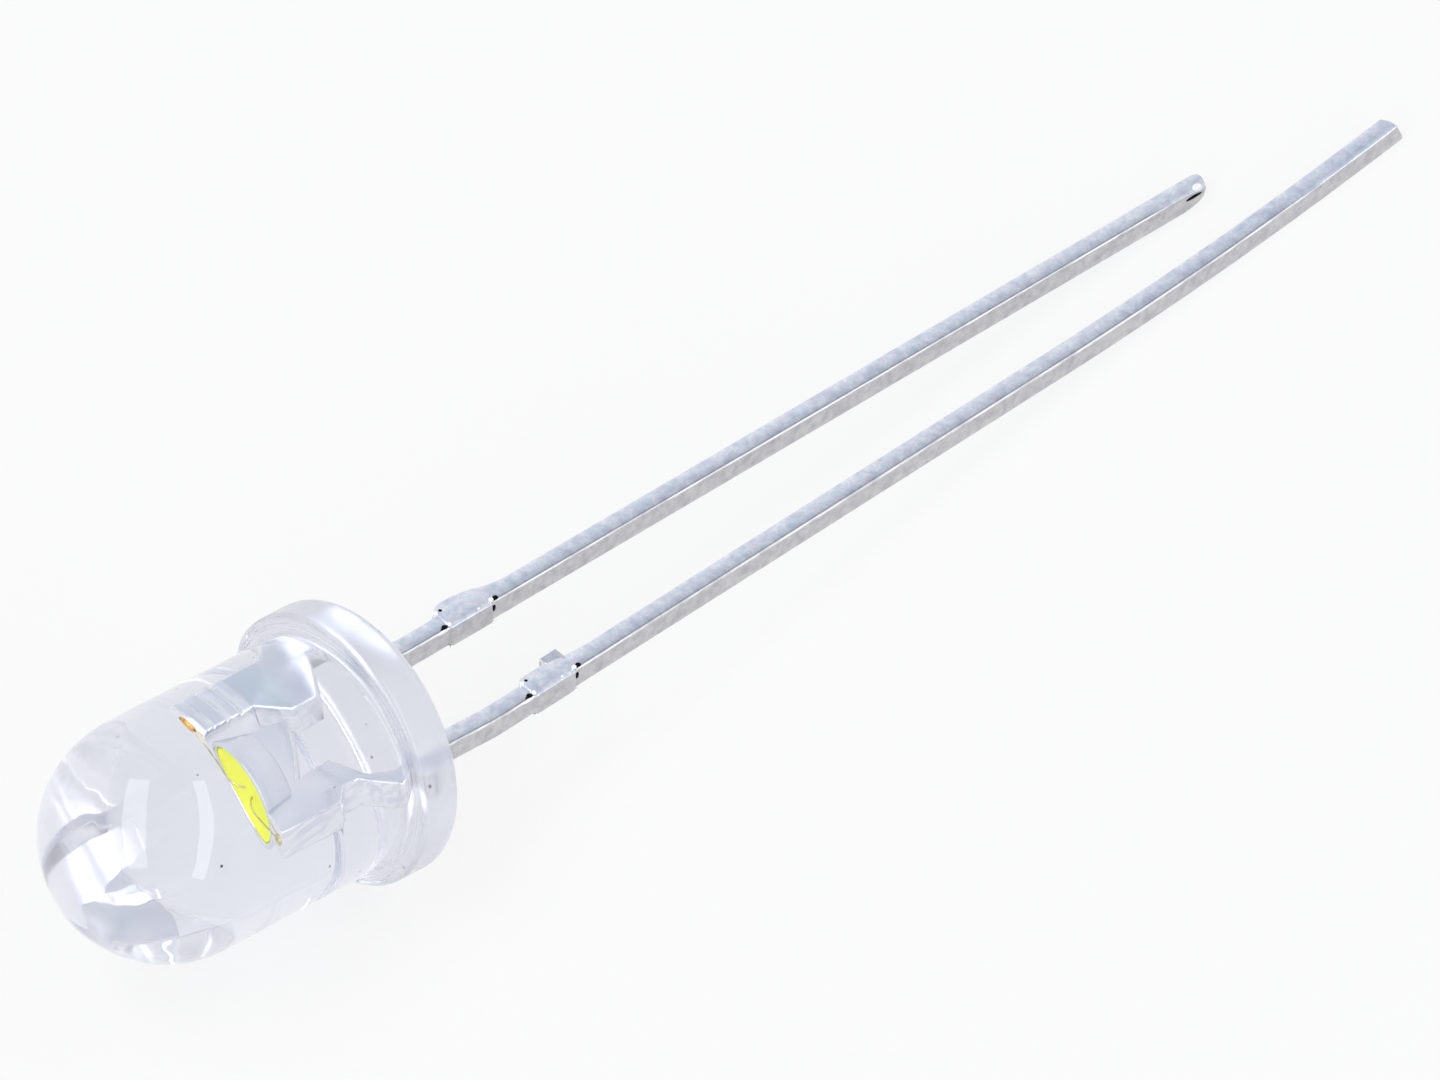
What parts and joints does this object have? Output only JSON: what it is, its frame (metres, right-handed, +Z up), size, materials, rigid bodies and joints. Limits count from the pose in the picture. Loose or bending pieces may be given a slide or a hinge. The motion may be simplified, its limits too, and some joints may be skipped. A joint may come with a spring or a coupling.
{
  "type": "through-hole led",
  "caption": "Round through-hole LED: clear domed epoxy lens with a flange, a reflector cup with yellow phosphor inside, and two long tinned leads of unequal length.",
  "frame": {"origin": "centre of the rear face of the flange, between the two leads", "axes": "+X runs from the lens towards the lead tips, level with the bench the LED lies on; +Y from the long lead towards the short lead; +Z up, away from the bench. The LED's own axis is 9.68 degrees below +X towards the tips, because it lies on its flange's rim and both lead tips"},
  "size_m": [0.0355, 0.0054, 0.0062],
  "materials": {
    "epoxy": "clear, glossy",
    "tinned_steel": "tin-plated stamped steel, satin",
    "phosphor": "yellow phosphor in resin",
    "chip": "gallium nitride on sapphire",
    "glue": "die-attach resin",
    "gold": "bright gold wire"
  },
  "bodies": {
    "root": {"lens_body": "epoxy", "anvil_lead": "tinned_steel", "post_lead": "tinned_steel", "phosphor_fill": "phosphor", "led_chip": "chip", "die_attach": "glue", "post_wire": "gold", "anvil_wire": "gold"}
  },
  "joints": []
}
